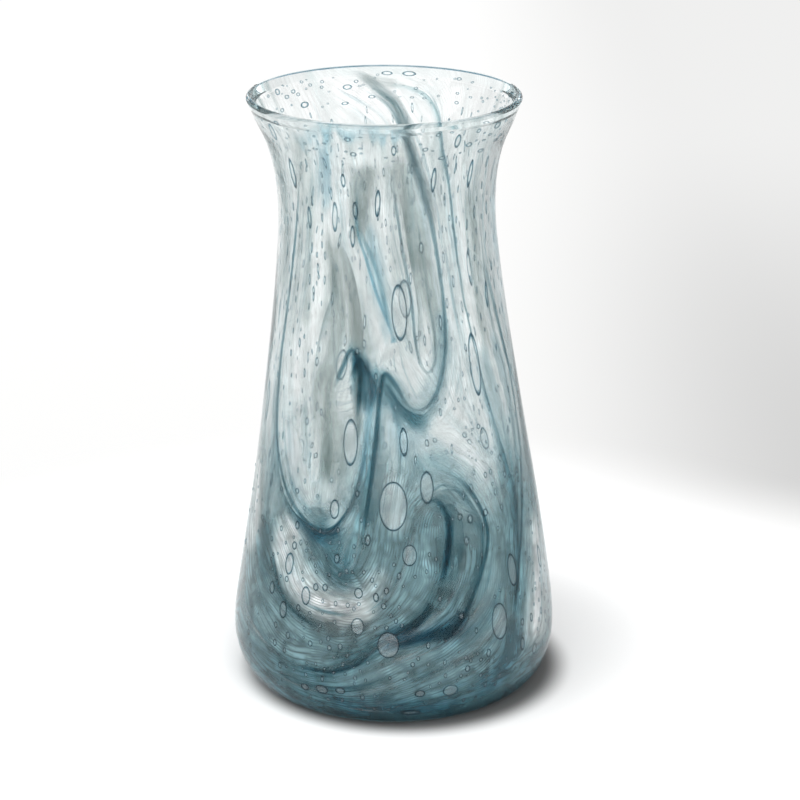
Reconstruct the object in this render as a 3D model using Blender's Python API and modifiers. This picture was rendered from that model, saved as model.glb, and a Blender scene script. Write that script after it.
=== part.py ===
"""A hand blown art glass vase: a clear gather, a skin of blue and white powder colour, pulled trails of
dark blue glass laid on that skin, and a clear casing gathered over everything and rolled in at the lip.

Metres, +Z up. The origin is the centre of the resting ring. Azimuth 0 faces -Y and grows towards +X.
In the real vase the layers are fused; here each layer keeps a thin clearance to the next one.
"""

import math

import bpy
from mathutils import Vector

MM = 0.001

# Overall shape
HEIGHT = 252 * MM
FOOT_RADIUS = 55.9 * MM  # outer edge of the ground resting ring
RING_WIDTH = 5.5 * MM
KICK_HEIGHT = 3.0 * MM  # how far the punty end is pushed up inside the ring
BELLY_RADIUS = 68.5 * MM
BELLY_HEIGHT = 22 * MM  # top of the rounded heel
NECK_RADIUS = 44.4 * MM
NECK_HEIGHT = 207 * MM
FLARE_RADIUS = 56.3 * MM
LEAN = -4.0 * MM  # sideways drift of the lip, which a hand held punty leaves
LEAN_START = 70 * MM
LEAN_POWER = 1.3

# The outside of the wall above the heel, as (height, radius), read upwards
OUTLINE = [
    (BELLY_HEIGHT, BELLY_RADIUS),
    (65 * MM, 63.3 * MM),
    (105 * MM, 56.7 * MM),
    (145 * MM, 50.8 * MM),
    (180 * MM, 46.3 * MM),
    (NECK_HEIGHT, NECK_RADIUS),
    (228 * MM, 46.7 * MM),
    (242 * MM, 52.2 * MM),
    (HEIGHT, FLARE_RADIUS),
]

# Depths of the nested surfaces below the outside of the wall
CASING_DEPTH = 1.5 * MM
SKIN_OUTER_DEPTH = 2.4 * MM
SKIN_INNER_DEPTH = 2.8 * MM
GATHER_OUTER_DEPTH = 3.1 * MM
BORE_DEPTH = 4.4 * MM
LIP_THICKNESS = 2.8 * MM
LIP_THINNING_START = 190 * MM  # the wall is drawn thinner from here up to the lip

# Heights of the nested cups' floors at the heel. The kick carries them up towards the middle.
CASING_FLOOR = 1.6 * MM
SKIN_OUTER_FLOOR = 2.5 * MM
SKIN_INNER_FLOOR = 2.9 * MM
GATHER_OUTER_FLOOR = 3.2 * MM
BORE_FLOOR = 10 * MM
HEEL_CENTRE_RADIUS = 53 * MM  # the inner heels turn about this radius

LEDGE_HEIGHT = 247.0 * MM  # the casing rolls in over the other layers here
CLEARANCE = 0.3 * MM

TRAIL_DEPTH = 0.5 * (CASING_DEPTH + SKIN_OUTER_DEPTH)
TRAIL_THICKNESS = 0.3 * MM
TRAIL_TIP = 0.15  # width of a trail's drawn out tip, as a share of its full width
TRAIL_STEPS = 3  # cross-sections for each span between two points of a trail

STEPS = 48  # facets round the axis
BODY_ROWS = 12
HEEL_ROWS = 5
LIP_ROWS = 6
KICK_ROWS = 3

# Each trail's full width and its path, as (azimuth in degrees, height in millimetres)
TRAILS = {
    "trail_left_loop": (2.2, [
        (-44, 234), (-52, 218), (-58, 198), (-62, 172), (-65, 146), (-62, 118), (-55, 102),
        (-46, 91), (-35, 84), (-26, 84), (-18, 94), (-13, 110), (-11, 126), (-10, 138),
    ]),
    "trail_left_peak": (2.6, [(-28, 140), (-24, 149), (-19, 158), (-15, 152), (-14.5, 142), (-16, 128)]),
    "trail_centre_hook": (2.8, [
        (-13, 76), (-11.5, 88), (-9, 104), (-7, 122), (-5.5, 138), (-3, 149), (2, 145), (7, 137), (13, 133),
    ]),
    "trail_swirl_outer": (2.4, [
        (22, 108), (31, 102), (38, 90), (40, 78), (36, 66), (31, 56), (25, 46), (18, 38), (10, 33),
    ]),
    "trail_swirl_inner": (3.0, [(12, 96), (18, 97), (22, 90), (22, 79), (20, 69), (16, 60)]),
    "trail_swirl_core": (4.6, [(2, 43), (7, 46), (11, 50), (14, 56)]),
    "trail_foot_sweep": (2.2, [(-38, 23), (-30, 24), (-22, 25), (-14, 29), (-8, 35), (-3, 39)]),
    "trail_right_side": (2.2, [
        (62, 178), (69, 158), (74, 136), (73, 110), (67, 92), (61, 76), (55, 60), (50, 44), (48, 30),
    ]),
    "trail_neck_thread": (1.6, [(-14, 226), (-16, 208), (-11, 194), (-6, 181), (-1, 170), (3, 161)]),
    "trail_back_arc": (1.8, [
        (166, 244), (158, 241), (151, 233), (147, 222), (143, 208), (140, 192), (139, 170),
        (136, 146), (131, 124), (126, 104), (125, 84),
    ]),
    "trail_back_finger": (2.6, [
        (194, 244), (186, 240), (178, 235), (172, 227), (166, 217), (160, 206), (156, 190), (153, 172),
        (152, 152), (153, 132), (156, 115), (160, 103), (166, 97), (172, 98), (177, 104), (182, 113),
    ]),
    "trail_back_fold": (1.6, [
        (176, 206), (173, 188), (171, 170), (169, 150), (168, 132), (166, 119), (163, 116),
    ]),
    "trail_back_swirl": (2.6, [
        (-152, 25), (-142, 27), (-133, 33), (-129, 41), (-134, 49), (-144, 51), (-150, 45), (-147, 38),
    ]),
    "trail_left_flank": (2.0, [
        (-100, 32), (-105, 56), (-100, 88), (-96, 120), (-99, 152), (-104, 184), (-101, 210),
    ]),
    "trail_right_flank": (2.0, [
        (103, 30), (98, 56), (96, 88), (101, 122), (106, 154), (104, 186), (109, 214),
    ]),
}

CLEAR_GLASS = (0.86, 0.93, 0.94)
POWDER_BLUE = (0.52, 0.66, 0.70)
TRAIL_BLUE = (0.07, 0.24, 0.31)


def clear_scene():
    for obj in list(bpy.data.objects):
        bpy.data.objects.remove(obj)


def glass(name, colour, transmission, roughness):
    """A Principled glass of this colour."""
    material = bpy.data.materials.new(name)
    material.use_nodes = True
    shader = material.node_tree.nodes["Principled BSDF"]
    shader.inputs["Base Color"].default_value = (*colour, 1.0)
    shader.inputs["Metallic"].default_value = 0.0
    shader.inputs["Roughness"].default_value = roughness
    shader.inputs["IOR"].default_value = 1.5
    shader.inputs["Transmission Weight"].default_value = transmission
    return material


def catmull_rom(a, b, c, d, t):
    """A point between b and c on the smooth curve through a, b, c and d."""
    bend = 2 * a - 5 * b + 4 * c - d
    return 0.5 * (2 * b + (c - a) * t + bend * t * t + (3 * b - a - 3 * c + d) * t**3)


def smooth_path(points, steps):
    """Points along the smooth curve through the given ones, with this many steps between neighbours."""
    points = [Vector(p) for p in points]
    ends = [2 * points[0] - points[1]] + points + [2 * points[-1] - points[-2]]
    path = []
    for i in range(len(points) - 1):
        path += [catmull_rom(*ends[i : i + 4], step / steps) for step in range(steps)]
    return path + [points[-1]]


def outline_radius(height):
    """Radius of the outside of the wall at a height above the heel: a cubic Hermite through OUTLINE."""
    slopes = [0.0]
    for (z0, r0), _, (z2, r2) in zip(OUTLINE, OUTLINE[1:], OUTLINE[2:]):
        slopes.append((r2 - r0) / (z2 - z0))
    (z0, r0), (z1, r1) = OUTLINE[-2:]
    slopes.append((r1 - r0) / (z1 - z0))
    span = max(i for i in range(len(OUTLINE) - 1) if i == 0 or OUTLINE[i][0] <= height)
    (z0, r0), (z1, r1) = OUTLINE[span : span + 2]
    width = z1 - z0
    t = (height - z0) / width
    return (
        (2 * t**3 - 3 * t**2 + 1) * r0
        + (t**3 - 2 * t**2 + t) * width * slopes[span]
        + (3 * t**2 - 2 * t**3) * r1
        + (t**3 - t**2) * width * slopes[span + 1]
    )


def outline_slope(height):
    step = 0.1 * MM
    return (outline_radius(height + step) - outline_radius(height - step)) / (2 * step)


def thinning(height):
    """Share of the full wall depth left at this height, 1 up to the neck and less at the lip."""
    lip = LIP_THICKNESS / BORE_DEPTH
    rise = (height - LIP_THINNING_START) / (HEIGHT - LIP_THINNING_START)
    return 1 - (1 - lip) * min(max(rise, 0.0), 1.0)


def surface_radius(height, depth):
    """Radius of the surface that lies this deep in the wall, measured square to the wall."""
    return outline_radius(height) - depth * thinning(height) * math.hypot(1, outline_slope(height))


def lip_start():
    """Height on the outside of the wall where the rounded lip begins, so that the lip tops out at HEIGHT."""
    height = HEIGHT
    for _ in range(20):
        lean_out = math.atan(outline_slope(min(height, HEIGHT - 0.2 * MM)))
        height = HEIGHT - 0.5 * LIP_THICKNESS * (1 + math.sin(lean_out))
    return height


LIP_START = lip_start()
ROW_HEIGHTS = [
    BELLY_HEIGHT + (LIP_START - BELLY_HEIGHT) * math.sin(0.5 * math.pi * i / BODY_ROWS)
    for i in range(BODY_ROWS + 1)
]


def wall_rows(depth, top):
    """(radius, height) up one surface, from the top of the heel to the given height."""
    rows = [(surface_radius(z, depth), z) for z in ROW_HEIGHTS if z < top - 1 * MM]
    return rows + [(surface_radius(top, depth), top)]


def kick_rows(ring, floor):
    """(radius, height) from the axis out to just inside a ring, over the kick of a floor."""
    shares = [i / KICK_ROWS for i in range(KICK_ROWS)]
    return [(ring * share, floor + KICK_HEIGHT * math.cos(0.5 * math.pi * share)) for share in shares]


def inner_heel(depth, floor):
    """(radius, height) up a cup's rounded heel, from the edge of its floor."""
    side = surface_radius(BELLY_HEIGHT, depth) - HEEL_CENTRE_RADIUS
    drop = BELLY_HEIGHT - floor
    turn = [0.5 * math.pi * i / HEEL_ROWS for i in range(HEEL_ROWS)]
    return [(HEEL_CENTRE_RADIUS + side * math.sin(a), BELLY_HEIGHT - drop * math.cos(a)) for a in turn]


def cup_surface(depth, floor, top):
    """(radius, height) of one nested cup surface, from its centre up to its rim."""
    return kick_rows(HEEL_CENTRE_RADIUS, floor) + inner_heel(depth, floor) + wall_rows(depth, top)


def rounded_lip():
    """(radius, height) over the fire polished lip, from the bore side to the outside."""
    lean_out = math.atan(outline_slope(LIP_START))
    half = 0.5 * LIP_THICKNESS
    centre_radius = outline_radius(LIP_START) - half * math.cos(lean_out)
    centre_height = LIP_START + half * math.sin(lean_out)
    turn = [math.pi - lean_out - math.pi * i / LIP_ROWS for i in range(LIP_ROWS + 1)]
    return [(centre_radius + half * math.cos(a), centre_height + half * math.sin(a)) for a in turn]


def outer_heel_and_foot():
    """(radius, height) down the rounded heel, across the ground ring and up the kick to the axis."""
    turn = [0.5 * math.pi * i / HEEL_ROWS for i in range(1, HEEL_ROWS + 1)]
    side = BELLY_RADIUS - FOOT_RADIUS
    heel = [
        (FOOT_RADIUS + side * math.cos(a), BELLY_HEIGHT * (1 - math.sin(a))) for a in turn
    ]
    ring = FOOT_RADIUS - RING_WIDTH
    return heel + [(ring, 0.0)] + kick_rows(ring, 0.0)[::-1]


def lean_at(height):
    """Sideways offset of the vase's centre line."""
    rise = max(height - LEAN_START, 0.0) / (HEIGHT - LEAN_START)
    return LEAN * rise**LEAN_POWER


def lean_over(mesh):
    for vertex in mesh.vertices:
        vertex.co.x += lean_at(vertex.co.z)


def place(name, mesh, material, collection, parent):
    mesh.name = name
    obj = bpy.data.objects.new(name, mesh)
    obj.data.materials.clear()
    obj.data.materials.append(material)
    obj.parent = parent
    collection.objects.link(obj)
    return obj


def applied(obj):
    """The object's mesh with its modifiers applied. The object itself is removed."""
    bpy.context.scene.collection.objects.link(obj)
    bpy.context.view_layer.update()
    graph = bpy.context.evaluated_depsgraph_get()
    mesh = bpy.data.meshes.new_from_object(obj.evaluated_get(graph))
    bpy.data.objects.remove(obj)
    return mesh


def turned(name, profile, material, collection, parent):
    """A solid turned from a (radius, height) profile that runs down its outer side, then leaned over."""
    mesh = bpy.data.meshes.new(name)
    points = [(radius, 0.0, height) for radius, height in profile]
    mesh.from_pydata(points, [(i, i + 1) for i in range(len(points) - 1)], [])
    lathe = bpy.data.objects.new(name + "_profile", mesh)
    screw = lathe.modifiers.new("turn", "SCREW")
    screw.steps = STEPS
    screw.render_steps = STEPS
    screw.use_merge_vertices = True
    screw.merge_threshold = 0.00001
    solid = applied(lathe)
    lean_over(solid)
    solid.shade_smooth()
    return place(name, solid, material, collection, parent)


def facet_radius(azimuth, height, depth):
    """Radius at this azimuth of the faceted surface, so that a trail runs level with the facets round it."""
    rows = wall_rows(depth, LEDGE_HEIGHT)
    heel = inner_heel(depth, 0.5 * (CASING_FLOOR + SKIN_OUTER_FLOOR))
    radius = None
    for (r0, z0), (r1, z1) in zip(heel + rows, (heel + rows)[1:]):
        if z0 <= height <= z1:
            radius = r0 + (r1 - r0) * (height - z0) / (z1 - z0)
    facet = 2 * math.pi / STEPS
    across = (azimuth % facet) - 0.5 * facet
    return radius * math.cos(0.5 * facet) / math.cos(across)


def wall_point(azimuth, height, depth):
    radius = facet_radius(azimuth, height, depth)
    return Vector((lean_at(height) + radius * math.sin(azimuth), -radius * math.cos(azimuth), height))


def trail(name, width_mm, path, material, collection, parent):
    """A flattened thread of glass that follows the wall: a tapered strip on the wall, given a thickness."""
    route = smooth_path([(math.radians(azimuth), height * MM) for azimuth, height in path], TRAIL_STEPS)
    centres = [wall_point(azimuth, height, TRAIL_DEPTH) for azimuth, height in route]
    points = []
    for i, (azimuth, height) in enumerate(route):
        along = (centres[min(i + 1, len(route) - 1)] - centres[max(i - 1, 0)]).normalized()
        outward = Vector((math.sin(azimuth), -math.cos(azimuth), 0.0))
        across = outward.cross(along).normalized()
        share = i / (len(route) - 1)
        swell = TRAIL_TIP + (1 - TRAIL_TIP) * math.sin(math.pi * share) ** 0.5
        half = 0.5 * width_mm * MM * swell
        for side in (-half, half):
            moved = centres[i] + side * across
            turn = math.atan2(moved.x - lean_at(moved.z), -moved.y)
            points.append(wall_point(turn, moved.z, TRAIL_DEPTH))
    faces = [(2 * i, 2 * i + 1, 2 * i + 3, 2 * i + 2) for i in range(len(route) - 1)]
    strip = bpy.data.meshes.new(name)
    strip.from_pydata(points, [], faces)
    ribbon = bpy.data.objects.new(name + "_strip", strip)
    thicken = ribbon.modifiers.new("thickness", "SOLIDIFY")
    thicken.thickness = TRAIL_THICKNESS
    thicken.offset = 0.0
    solid = applied(ribbon)
    solid.shade_smooth()
    return place(name, solid, material, collection, parent)


def outer_casing(material, collection, parent):
    """The clear gather over everything: foot, outside wall, lip, and the roll over the inner layers."""
    ledge = [(surface_radius(LEDGE_HEIGHT, BORE_DEPTH), LEDGE_HEIGHT)]
    profile = cup_surface(CASING_DEPTH, CASING_FLOOR, LEDGE_HEIGHT) + ledge + rounded_lip()
    profile += wall_rows(0.0, LIP_START)[-2::-1] + outer_heel_and_foot()
    return turned("outer_casing", profile, material, collection, parent)


def nested_cup(name, inner, outer, material, collection, parent):
    """A cup between two (depth, floor) surfaces, ending just under the casing's ledge."""
    top = LEDGE_HEIGHT - CLEARANCE
    profile = cup_surface(*inner, top) + cup_surface(*outer, top)[::-1]
    return turned(name, profile, material, collection, parent)


def build():
    clear_scene()
    collection = bpy.data.collections.new("hand_blown_vase")
    bpy.context.scene.collection.children.link(collection)
    parent = bpy.data.objects.new("vase_axis", None)
    collection.objects.link(parent)

    clear = glass("clear_glass", CLEAR_GLASS, 1.0, 0.02)
    powder = glass("powder_colour", POWDER_BLUE, 0.6, 0.25)
    blue = glass("trail_blue", TRAIL_BLUE, 0.7, 0.08)

    outer_casing(clear, collection, parent)
    nested_cup(
        "colour_skin", (SKIN_INNER_DEPTH, SKIN_INNER_FLOOR), (SKIN_OUTER_DEPTH, SKIN_OUTER_FLOOR),
        powder, collection, parent,
    )
    nested_cup(
        "inner_gather", (BORE_DEPTH, BORE_FLOOR), (GATHER_OUTER_DEPTH, GATHER_OUTER_FLOOR),
        clear, collection, parent,
    )
    for name, (width_mm, path) in TRAILS.items():
        trail(name, width_mm, path, blue, collection, parent)


build()
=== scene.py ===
"""Looks for the hand blown art glass vase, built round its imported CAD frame.

The casing, the gather, the colour skin and the trails keep the CAD's surfaces, places and names. The glass
is optically one body: only its outside and its bore refract, and the joins between its layers let light
straight through, as fused glass does. Azimuth 0 faces -Y and grows towards +X. The decoration's tables give
azimuths in degrees and lengths in millimetres; everything else is in metres.
"""

import math

import bpy
import numpy as np
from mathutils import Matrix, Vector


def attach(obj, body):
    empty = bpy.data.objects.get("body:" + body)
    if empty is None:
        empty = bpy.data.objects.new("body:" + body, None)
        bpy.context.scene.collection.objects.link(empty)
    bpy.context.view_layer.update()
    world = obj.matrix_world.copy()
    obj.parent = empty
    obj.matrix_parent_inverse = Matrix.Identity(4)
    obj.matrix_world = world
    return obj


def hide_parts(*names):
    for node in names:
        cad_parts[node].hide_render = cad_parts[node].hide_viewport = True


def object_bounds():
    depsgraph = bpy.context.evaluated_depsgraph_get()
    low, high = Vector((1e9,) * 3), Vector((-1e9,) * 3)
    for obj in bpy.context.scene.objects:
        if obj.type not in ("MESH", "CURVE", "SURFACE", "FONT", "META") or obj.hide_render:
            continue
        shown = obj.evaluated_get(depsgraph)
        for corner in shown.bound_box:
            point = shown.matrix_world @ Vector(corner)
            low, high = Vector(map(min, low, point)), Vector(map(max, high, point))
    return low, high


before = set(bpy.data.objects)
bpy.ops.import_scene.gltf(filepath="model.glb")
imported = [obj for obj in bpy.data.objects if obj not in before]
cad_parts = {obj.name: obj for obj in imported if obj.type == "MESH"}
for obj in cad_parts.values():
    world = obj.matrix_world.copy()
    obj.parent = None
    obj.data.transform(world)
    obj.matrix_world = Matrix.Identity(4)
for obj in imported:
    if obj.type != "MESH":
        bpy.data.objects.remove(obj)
cad_low, cad_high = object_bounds()
rng = np.random.default_rng(20)
MM = 0.001

# ---------------------------------------------------------------------------------------------------------
# The vase's surfaces, read from the CAD frame
# ---------------------------------------------------------------------------------------------------------


def rings(node):
    """Each ring of vertices of a turned node as (height, centre x, radius, outward normal, upward normal)."""
    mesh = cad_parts[node].data
    place = np.array([v.co for v in mesh.vertices])
    normal = np.array([v.normal for v in mesh.vertices])
    found = []
    for level in np.unique(np.round(place[:, 2], 6)):
        on_level = np.abs(place[:, 2] - level) < 2e-6
        p, n = place[on_level], normal[on_level]
        centre = 0.5 * (p[:, 0].min() + p[:, 0].max())
        radius = np.hypot(p[:, 0] - centre, p[:, 1])
        for r in np.unique(np.round(radius, 5)):
            on_ring = np.abs(radius - r) < 1e-5
            way = (p[on_ring] - [centre, 0, level]) / max(r, 1e-9)
            outward = (n[on_ring][:, :2] * way[:, :2]).sum(1).mean()
            found.append((level, centre, r, outward, n[on_ring][:, 2].mean()))
    return np.array(found)


def smooth(x, y, at, first_slope=None):
    """A cubic Hermite curve through (x, y), with x increasing."""
    slope = np.gradient(y, x)
    if first_slope is not None:
        slope[0] = first_slope
    i = np.clip(np.searchsorted(x, at) - 1, 0, len(x) - 2)
    width = x[i + 1] - x[i]
    t = np.clip((at - x[i]) / width, 0, 1)
    return (
        (2 * t**3 - 3 * t**2 + 1) * y[i]
        + (t**3 - 2 * t**2 + t) * width * slope[i]
        + (3 * t**2 - 2 * t**3) * y[i + 1]
        + (t**3 - t**2) * width * slope[i + 1]
    )


casing_rings = rings("outer_casing")
gather_rings = rings("inner_gather")
skin_rings = rings("colour_skin")

on_ground = casing_rings[casing_rings[:, 0] < 1e-5]
FOOT_RADIUS = on_ground[:, 2].max()
RING_INNER = on_ground[:, 2].min()
BELLY_RADIUS = 0.5 * (cad_high[0] - cad_low[0])
BELLY_HEIGHT = casing_rings[np.abs(casing_rings[:, 2] - BELLY_RADIUS) < 1e-4][:, 0].max()
KICK_HEIGHT = casing_rings[(casing_rings[:, 2] < 1e-5) & (casing_rings[:, 4] < 0)][:, 0].max()
TOP = cad_high[2]

# The circle that the rings over the lip lie on
lip_z, _, lip_r = casing_rings[casing_rings[:, 0] > TOP - 0.00125][:, :3].T
circle = np.linalg.lstsq(np.c_[2 * lip_r, 2 * lip_z, np.ones(len(lip_r))], lip_r**2 + lip_z**2, rcond=None)[0]
LIP_CENTRE_RADIUS, LIP_CENTRE_HEIGHT = circle[:2]
LIP_HALF = TOP - LIP_CENTRE_HEIGHT

facing_up = gather_rings[gather_rings[:, 4] > 0.5]
BORE_FLOOR, _, HEEL_CENTRE = facing_up[facing_up[:, 0].argmin()][:3]


def side_of(found, outer, top):
    """(heights, radii, centres) up one side of a turned node, above the heel."""
    side = found[(found[:, 0] > BELLY_HEIGHT - 1e-5) & (found[:, 0] < top) & ((found[:, 3] > 0) == outer)]
    side = side[np.argsort(side[:, 0])]
    return side[:, 0], side[:, 2], side[:, 1]


WALL_TOP = LIP_CENTRE_HEIGHT - 0.3 * LIP_HALF
outer_z, outer_r, outer_x = side_of(casing_rings, True, WALL_TOP)
bore_z, bore_r, _ = side_of(gather_rings, False, TOP)
skin_out_z, skin_out_r, _ = side_of(skin_rings, True, TOP)
skin_in_z, skin_in_r, _ = side_of(skin_rings, False, TOP)
LEDGE = casing_rings[(casing_rings[:, 3] < 0) & (casing_rings[:, 0] < TOP - 0.003)][:, 0].max()

FINE_Z = np.linspace(BELLY_HEIGHT, TOP, 900)
FINE_OUTER = smooth(outer_z, outer_r, FINE_Z, 0.0)
FINE_BORE = smooth(bore_z, bore_r, FINE_Z, 0.0)
WALL_ROW = 4  # a CAD row on the plain wall, where the layers' depths are read


def depth_share(z, r):
    """Where a layer's surface lies in the wall: 0 at the outside and 1 at the bore."""
    outside = np.interp(z[WALL_ROW], FINE_Z, FINE_OUTER)
    bore = np.interp(z[WALL_ROW], FINE_Z, FINE_BORE)
    return (outside - r[WALL_ROW]) / (outside - bore)


casing_in_z, casing_in_r, _ = side_of(casing_rings, False, LEDGE + 1e-5)
CASING_SHARE = depth_share(casing_in_z, casing_in_r)
SKIN_OUT_SHARE = depth_share(skin_out_z, skin_out_r)
SKIN_IN_SHARE = depth_share(skin_in_z, skin_in_r)
TRAIL_SHARE = 0.5 * (CASING_SHARE + SKIN_OUT_SHARE)


def lean(z):
    """Sideways offset of the centre line."""
    return np.interp(z, outer_z, outer_x)


SQUEEZE_FROM = 0.7  # the layers above this depth share keep their full depth round the thick heel


def wall_section(z, share):
    """(radius, height) of the point at a depth share in the wall, for a height on the outside of the vase."""
    z = np.asarray(z, float)
    share = np.asarray(share, float)
    turn = np.arcsin(np.clip(1 - z / BELLY_HEIGHT, 0, 1))
    heel_out = FOOT_RADIUS + (BELLY_RADIUS - FOOT_RADIUS) * np.cos(turn)
    heel_in = HEEL_CENTRE + (FINE_BORE[0] - HEEL_CENTRE) * np.cos(turn)
    heel_rise = BELLY_HEIGHT - (BELLY_HEIGHT - BORE_FLOOR) * np.sin(turn)
    on_heel = z < BELLY_HEIGHT
    outside = np.where(on_heel, heel_out, np.interp(z, FINE_Z, FINE_OUTER))
    bore = np.where(on_heel, heel_in, np.interp(z, FINE_Z, FINE_BORE))
    thickening = 1 - (FINE_OUTER[0] - FINE_BORE[0]) / BORE_FLOOR
    deep = np.clip((share - SQUEEZE_FROM) / (1 - SQUEEZE_FROM), 0, 1)
    share = share * (1 - thickening * np.sin(turn) * (1 - deep))
    height = np.where(on_heel, z + share * (heel_rise - z), z)
    return outside + share * (bore - outside), height


def wall(azimuth, z, share):
    """Points in the wall. Azimuth is in radians."""
    radius, height = wall_section(z, share)
    return np.stack([lean(height) + radius * np.sin(azimuth), -radius * np.cos(azimuth), height], -1)


# ---------------------------------------------------------------------------------------------------------
# The decoration: paths on the wall as (azimuth in degrees, height in millimetres)
# ---------------------------------------------------------------------------------------------------------

TRAILS = {
    "trail_left_loop": (2.2, [
        (-44, 234), (-52, 218), (-58, 198), (-62, 172), (-65, 146), (-62, 118), (-55, 102),
        (-46, 91), (-35, 84), (-26, 84), (-18, 94), (-13, 110), (-11, 126), (-10, 138),
    ]),
    "trail_left_peak": (2.6, [(-28, 140), (-24, 149), (-19, 158), (-15, 152), (-14.5, 142), (-16, 128)]),
    "trail_centre_hook": (2.8, [
        (-13, 76), (-11.5, 88), (-9, 104), (-7, 122), (-5.5, 138), (-3, 149), (2, 145), (7, 137), (13, 133),
    ]),
    "trail_swirl_outer": (2.4, [
        (22, 108), (31, 102), (38, 90), (40, 78), (36, 66), (31, 56), (25, 46), (18, 38), (10, 33),
    ]),
    "trail_swirl_inner": (3.0, [(12, 96), (18, 97), (22, 90), (22, 79), (20, 69), (16, 60)]),
    "trail_swirl_core": (4.6, [(2, 43), (7, 46), (11, 50), (14, 56)]),
    "trail_foot_sweep": (2.2, [(-38, 23), (-30, 24), (-22, 25), (-14, 29), (-8, 35), (-3, 39)]),
    "trail_right_side": (2.2, [
        (62, 178), (69, 158), (74, 136), (73, 110), (67, 92), (61, 76), (55, 60), (50, 44), (48, 30),
    ]),
    "trail_neck_thread": (1.6, [(-14, 226), (-16, 208), (-11, 194), (-6, 181), (-1, 170), (3, 161)]),
    "trail_back_arc": (1.8, [
        (166, 244), (158, 241), (151, 233), (147, 222), (143, 208), (140, 192), (139, 170),
        (136, 146), (131, 124), (126, 104), (125, 84),
    ]),
    "trail_back_finger": (2.6, [
        (194, 244), (186, 240), (178, 235), (172, 227), (166, 217), (160, 206), (156, 190), (153, 172),
        (152, 152), (153, 132), (156, 115), (160, 103), (166, 97), (172, 98), (177, 104), (182, 113),
    ]),
    "trail_back_fold": (1.6, [(176, 206), (173, 188), (171, 170), (169, 150), (168, 132), (166, 119),
     (163, 116)]),
    "trail_back_swirl": (2.6, [
        (-152, 25), (-142, 27), (-133, 33), (-129, 41), (-134, 49), (-144, 51), (-150, 45), (-147, 38),
    ]),
    "trail_left_flank": (2.0, [(-100, 32), (-105, 56), (-100, 88), (-96, 120), (-99, 152), (-104, 184),
     (-101, 210)]),
    "trail_right_flank": (2.0, [(103, 30), (98, 56), (96, 88), (101, 122), (106, 154), (104, 186),
     (109, 214)]),
}

# Paths the glass has flowed along without leaving a trail
FLOWS = [
    [(-57, 79), (-52, 72), (-46, 63), (-39, 53), (-27, 50), (-13, 51), (-3, 59), (3, 72), (7, 85), (13, 96),
     (22, 102), (31, 95), (35, 81), (35, 70), (31, 58), (24, 48), (15, 41), (8, 39)],
    [(-44, 84), (-36, 76), (-31, 67), (-22, 61), (-13, 61), (-7, 68), (-4, 78), (-2, 90), (0, 101)],
    [(-56, 50), (-41, 42), (-29, 38), (-16, 37), (-5, 43), (7, 52), (14, 60)],
    [(-63, 28), (-48, 24), (-35, 22), (-21, 25), (-10, 31), (-1, 37), (8, 39)],
    [(-1, 18), (9, 23), (19, 27), (33, 32), (44, 41), (48, 53)],
    [(-8, 24), (4, 31), (17, 35), (28, 41), (38, 52), (44, 67)],
    [(-55, 13), (-41, 7), (-23, 4), (1, 3), (27, 6), (45, 10), (64, 11)],
    [(14, 66), (14, 78), (15, 89), (21, 96), (26, 90), (28, 78), (26, 65), (20, 54), (13, 49)],
    [(-86, 91), (-86, 73), (-75, 58), (-66, 44), (-53, 33)],
    [(-30, 198), (-27, 185), (-24, 172), (-26, 155), (-30, 140), (-29, 120), (-30, 100)],
    [(-45, 210), (-48, 180), (-52, 150), (-50, 125), (-44, 104)],
    [(3, 151), (11, 141), (23, 127), (36, 117), (48, 104), (51, 86)],
    [(27, 215), (30, 190), (33, 160), (38, 135), (46, 118)],
    [(90, 12), (120, 9), (150, 14), (180, 10), (210, 7), (240, 12), (270, 12)],
    [(110, 60), (122, 44), (140, 36), (160, 40), (172, 54), (170, 72), (158, 80), (146, 72)],
    [(185, 130), (196, 112), (206, 108), (214, 118), (218, 140), (220, 170)],
    [(235, 60), (246, 40), (262, 34), (276, 44), (280, 62)],
]


def catmull_rom(a, b, c, d, t):
    """A point between b and c on the smooth curve through a, b, c and d."""
    return 0.5 * (2 * b + (c - a) * t + (2 * a - 5 * b + 4 * c - d) * t * t + (3 * b - a - 3 * c + d) * t**3)


def smooth_path(points, spacing=1.5):
    """The smooth curve through a path's points, resampled at an even spacing in millimetres."""
    p = np.array(points, float)
    ends = np.vstack([2 * p[0] - p[1], p, 2 * p[-1] - p[-2]])
    fine = []
    for i in range(len(p) - 1):
        for t in np.arange(0, 1, 0.1):
            fine.append(catmull_rom(*ends[i : i + 4], t))
    fine = np.array(fine + [p[-1]])
    run = np.r_[0, np.cumsum(np.hypot(*np.diff(fine, axis=0).T))]
    even = np.linspace(0, run[-1], max(3, int(run[-1] / spacing)))
    return np.stack([np.interp(even, run, fine[:, k]) for k in (0, 1)], -1)


def turned_apart(a, b):
    """Signed difference of two azimuths in degrees."""
    return (a - b + 180) % 360 - 180


def nearness(azimuth, height, path):
    """Distance in millimetres to a path, signed positive on the path's left."""
    best = np.full(azimuth.shape, 1e9)
    sign = np.ones(azimuth.shape)
    for (a0, h0), (a1, h1) in zip(path, path[1:]):
        du, dv = a1 - a0, h1 - h0
        u, v = turned_apart(azimuth, a0), height - h0
        t = np.clip((u * du + v * dv) / (du * du + dv * dv + 1e-9), 0, 1)
        d = np.hypot(u - t * du, v - t * dv)
        closer = d < best
        best = np.where(closer, d, best)
        sign = np.where(closer, np.where(du * v < dv * u, -1.0, 1.0), sign)
    return best * sign


# The direction the glass has flowed in, on a grid of the wall, as the cosine and sine of twice its angle
GRID_STEP = 2
grid_azimuth, grid_height = np.meshgrid(
    np.arange(0, 360, GRID_STEP), np.arange(0, 252, GRID_STEP), indexing="ij"
)


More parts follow.
